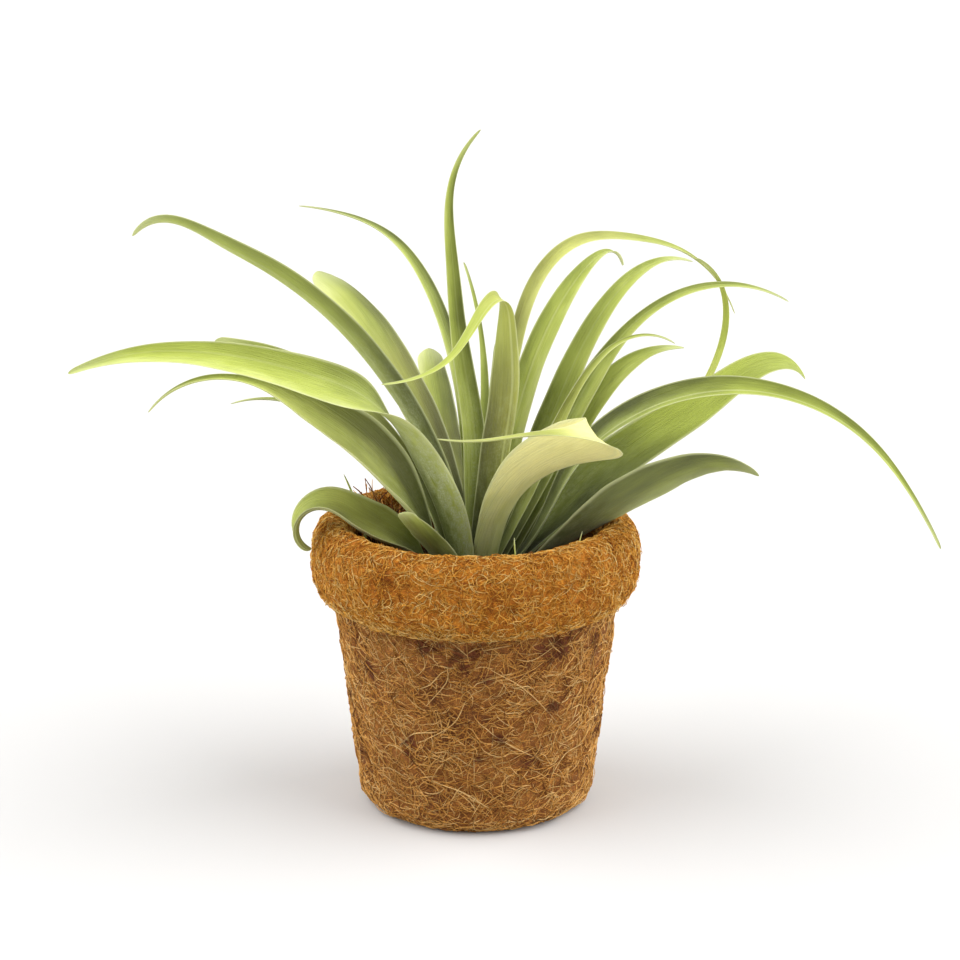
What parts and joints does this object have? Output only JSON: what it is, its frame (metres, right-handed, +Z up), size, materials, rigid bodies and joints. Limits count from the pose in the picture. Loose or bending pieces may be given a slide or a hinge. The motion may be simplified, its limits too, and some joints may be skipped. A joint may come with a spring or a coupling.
{
  "type": "air plant in a coir pot",
  "caption": "Rosette of long, channelled, silvery green leaves growing in a tapered coconut-fibre pot with a thick turned-over rim.",
  "frame": {"origin": "middle of the pot's flat foot", "axes": "+Z up, +X along the widest spread of the leaves, -Y the side the picture shows"},
  "size_m": [0.2778, 0.1519, 0.2277],
  "materials": {
    "pot_coir": "coarse matted coconut fibre, golden brown with dark patches",
    "rim_felt": "finer felted coconut fibre, orange brown, frayed lower edge",
    "filling_fibre": "dark packed fibre",
    "stem_skin": "dry plant stem",
    "leaf_skin": "soft satin leaf with a frosty bloom, yellow-green towards the tips, pale margins"
  },
  "bodies": {
    "root": {"coir_pot": "pot_coir", "rim_band": "rim_felt", "filling": "filling_fibre", "stem": "stem_skin", "leaf_left_1": "leaf_skin", "leaf_left_2": "leaf_skin", "leaf_left_3": "leaf_skin", "leaf_left_4": "leaf_skin", "leaf_left_5": "leaf_skin", "leaf_left_6": "leaf_skin", "leaf_left_7": "leaf_skin", "leaf_left_8": "leaf_skin", "leaf_front_1": "leaf_skin", "leaf_front_2": "leaf_skin", "leaf_front_3": "leaf_skin", "leaf_right_1": "leaf_skin", "leaf_right_2": "leaf_skin", "leaf_right_3": "leaf_skin", "leaf_right_4": "leaf_skin", "leaf_right_5": "leaf_skin", "leaf_right_6": "leaf_skin", "leaf_right_7": "leaf_skin", "leaf_right_8": "leaf_skin", "leaf_right_9": "leaf_skin", "leaf_right_10": "leaf_skin", "leaf_back_1": "leaf_skin", "leaf_back_2": "leaf_skin", "leaf_back_3": "leaf_skin", "leaf_back_4": "leaf_skin", "leaf_back_5": "leaf_skin", "leaf_back_6": "leaf_skin", "leaf_back_7": "leaf_skin", "leaf_back_8": "leaf_skin"}
  },
  "joints": []
}
